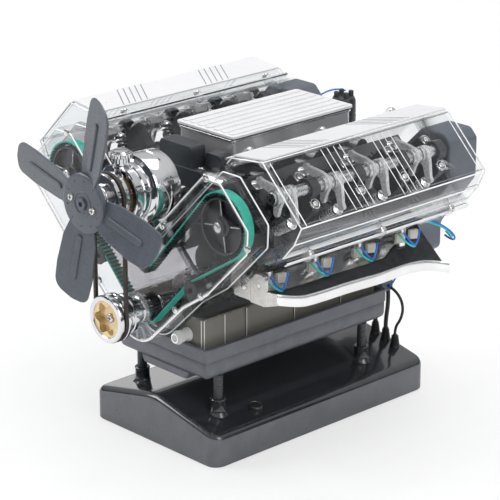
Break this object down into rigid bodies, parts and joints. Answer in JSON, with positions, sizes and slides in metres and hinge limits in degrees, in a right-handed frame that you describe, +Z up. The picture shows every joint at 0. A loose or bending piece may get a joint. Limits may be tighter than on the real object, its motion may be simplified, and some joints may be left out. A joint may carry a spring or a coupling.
{
  "type": "four stroke engine model",
  "caption": "See-through V engine teaching model with moving crank train, belt-driven cam wheels and fan, on a display stand with a start button.",
  "frame": {"origin": "middle of the flat underside of the stand", "axes": "+Z up, -Y toward the fan, +X to the right as seen by someone facing the fan"},
  "size_m": [0.2546, 0.2833, 0.2495],
  "materials": {
    "black_gloss": "gloss",
    "dark_plastic": "satin",
    "clear_plastic": "clear gloss",
    "smoky_plastic": "translucent gloss",
    "blue_grey_plastic": "satin",
    "chrome": "mirror",
    "steel": "brushed",
    "pale_grey_plastic": "satin",
    "cream_plastic": "satin",
    "teal_rubber": "matte",
    "brown_rubber": "matte",
    "black_rubber": "matte",
    "green_board": "satin",
    "gold": "polished"
  },
  "bodies": {
    "engine": {"stand_shell": "black_gloss", "stand_floor": "dark_plastic", "battery_cover": "dark_plastic", "circuit_board": "green_board", "stand_posts": "dark_plastic", "engine_tray": "blue_grey_plastic", "sump": "smoky_plastic", "drain_cock": "clear_plastic", "cylinder_block": "clear_plastic", "cylinder_liners": "clear_plastic", "main_bearing_caps": "clear_plastic", "head_right": "clear_plastic", "head_left": "clear_plastic", "rocker_cover_right": "clear_plastic", "rocker_cover_left": "clear_plastic", "valves": "steel", "valve_springs": "steel", "rocker_brackets": "dark_plastic", "rocker_arms": "pale_grey_plastic", "rocker_shafts": "steel", "cover_strips": "chrome", "case_screws": "steel", "lamp_plugs": "clear_plastic", "lamp_blocks": "cream_plastic", "exhausts": "chrome", "timing_back_plate": "clear_plastic", "timing_cover": "clear_plastic", "timing_belt": "teal_rubber", "fan_belt": "brown_rubber", "pump_housing": "chrome", "filler_cap": "chrome", "intake_manifold": "dark_plastic", "plenum": "chrome", "plenum_lid": "chrome", "distributor": "dark_plastic", "rear_housing": "blue_grey_plastic", "gear_motor": "steel", "cords": "black_rubber", "cord_glands": "black_rubber"},
    "crankshaft": {"crankshaft": "steel", "crank_sprocket": "dark_plastic", "crank_pulley": "chrome"},
    "crank_cheeks_outer": {"crank_cheeks_outer": "steel"},
    "crank_cheeks_inner": {"crank_cheeks_inner": "steel"},
    "pistons_right_1_4": {"pistons_right_1_4": "pale_grey_plastic"},
    "pistons_right_2_3": {"pistons_right_2_3": "pale_grey_plastic"},
    "pistons_left_1_4": {"pistons_left_1_4": "pale_grey_plastic"},
    "pistons_left_2_3": {"pistons_left_2_3": "pale_grey_plastic"},
    "rods_1_4": {"rods_1_4": "steel"},
    "rods_2_3": {"rods_2_3": "steel"},
    "camshaft_right": {"camshaft_right": "dark_plastic"},
    "camshaft_left": {"camshaft_left": "dark_plastic"},
    "idler_right": {"idler_right": "dark_plastic"},
    "idler_left": {"idler_left": "dark_plastic"},
    "idler_centre": {"idler_centre": "dark_plastic"},
    "fan": {"fan": "blue_grey_plastic", "fan_nose": "chrome", "fan_pulley": "chrome", "fan_screws": "steel"},
    "start_button": {"start_button": "black_gloss"}
  },
  "joints": [
    {"name": "crank_spin", "type": "hinge", "parent": "engine", "child": "crankshaft", "pos_m": [0, 0, 0.098], "axis": [0, 1, 0], "continuous": true},
    {"name": "cheeks_outer_turn", "type": "hinge", "parent": "crankshaft", "child": "crank_cheeks_outer", "pos_m": [0.00283, 0, 0.10083], "axis": [0, 1, 0], "continuous": true},
    {"name": "pistons_right_1_4_stroke", "type": "hinge", "parent": "crank_cheeks_outer", "child": "pistons_right_1_4", "pos_m": [0.00566, 0, 0.10366], "axis": [0, 1, 0], "continuous": true},
    {"name": "pistons_left_1_4_stroke", "type": "hinge", "parent": "crank_cheeks_outer", "child": "pistons_left_1_4", "pos_m": [0, 0, 0.098], "axis": [0, 1, 0], "continuous": true},
    {"name": "rods_1_4_swing", "type": "hinge", "parent": "crankshaft", "child": "rods_1_4", "pos_m": [0.00566, 0, 0.10366], "axis": [0, 1, 0], "continuous": true},
    {"name": "cheeks_inner_turn", "type": "hinge", "parent": "crankshaft", "child": "crank_cheeks_inner", "pos_m": [-0.00283, 0, 0.09517], "axis": [0, 1, 0], "continuous": true},
    {"name": "pistons_right_2_3_stroke", "type": "hinge", "parent": "crank_cheeks_inner", "child": "pistons_right_2_3", "pos_m": [-0.00566, 0, 0.09234], "axis": [0, 1, 0], "continuous": true},
    {"name": "pistons_left_2_3_stroke", "type": "hinge", "parent": "crank_cheeks_inner", "child": "pistons_left_2_3", "pos_m": [0, 0, 0.098], "axis": [0, 1, 0], "continuous": true},
    {"name": "rods_2_3_swing", "type": "hinge", "parent": "crankshaft", "child": "rods_2_3", "pos_m": [-0.00566, 0, 0.09234], "axis": [0, 1, 0], "continuous": true},
    {"name": "camshaft_right_spin", "type": "hinge", "parent": "engine", "child": "camshaft_right", "pos_m": [0.07354, 0, 0.17154], "axis": [0, 1, 0], "continuous": true},
    {"name": "camshaft_left_spin", "type": "hinge", "parent": "engine", "child": "camshaft_left", "pos_m": [-0.07354, 0, 0.17154], "axis": [0, 1, 0], "continuous": true},
    {"name": "idler_right_spin", "type": "hinge", "parent": "engine", "child": "idler_right", "pos_m": [0.0454, 0, 0.1219], "axis": [0, 1, 0], "continuous": true},
    {"name": "idler_left_spin", "type": "hinge", "parent": "engine", "child": "idler_left", "pos_m": [-0.0454, 0, 0.1219], "axis": [0, 1, 0], "continuous": true},
    {"name": "idler_centre_spin", "type": "hinge", "parent": "engine", "child": "idler_centre", "pos_m": [0, 0, 0.1275], "axis": [0, 1, 0], "continuous": true},
    {"name": "fan_spin", "type": "hinge", "parent": "engine", "child": "fan", "pos_m": [0, 0, 0.18], "axis": [0, 1, 0], "continuous": true},
    {"name": "start_button_press", "type": "slide", "parent": "engine", "child": "start_button", "axis": [-0.2084, 0, -0.978], "range_m": [0, 0.0015], "stiffness_N_per_m": 400}
  ],
  "couplings": [
    {"joint": "cheeks_outer_turn", "follows": "crank_spin", "ratio": -2},
    {"joint": "pistons_right_1_4_stroke", "follows": "crank_spin", "ratio": 1},
    {"joint": "pistons_left_1_4_stroke", "follows": "crank_spin", "ratio": 1},
    {"joint": "rods_1_4_swing", "follows": "crank_spin", "ratio": -1},
    {"joint": "cheeks_inner_turn", "follows": "crank_spin", "ratio": -2},
    {"joint": "pistons_right_2_3_stroke", "follows": "crank_spin", "ratio": 1},
    {"joint": "pistons_left_2_3_stroke", "follows": "crank_spin", "ratio": 1},
    {"joint": "rods_2_3_swing", "follows": "crank_spin", "ratio": -1},
    {"joint": "camshaft_right_spin", "follows": "crank_spin", "ratio": 0.5},
    {"joint": "camshaft_left_spin", "follows": "crank_spin", "ratio": 0.5},
    {"joint": "idler_right_spin", "follows": "crank_spin", "ratio": -1.8065},
    {"joint": "idler_left_spin", "follows": "crank_spin", "ratio": -1.8065},
    {"joint": "idler_centre_spin", "follows": "crank_spin", "ratio": -2.0741},
    {"joint": "fan_spin", "follows": "crank_spin", "ratio": 1}
  ]
}
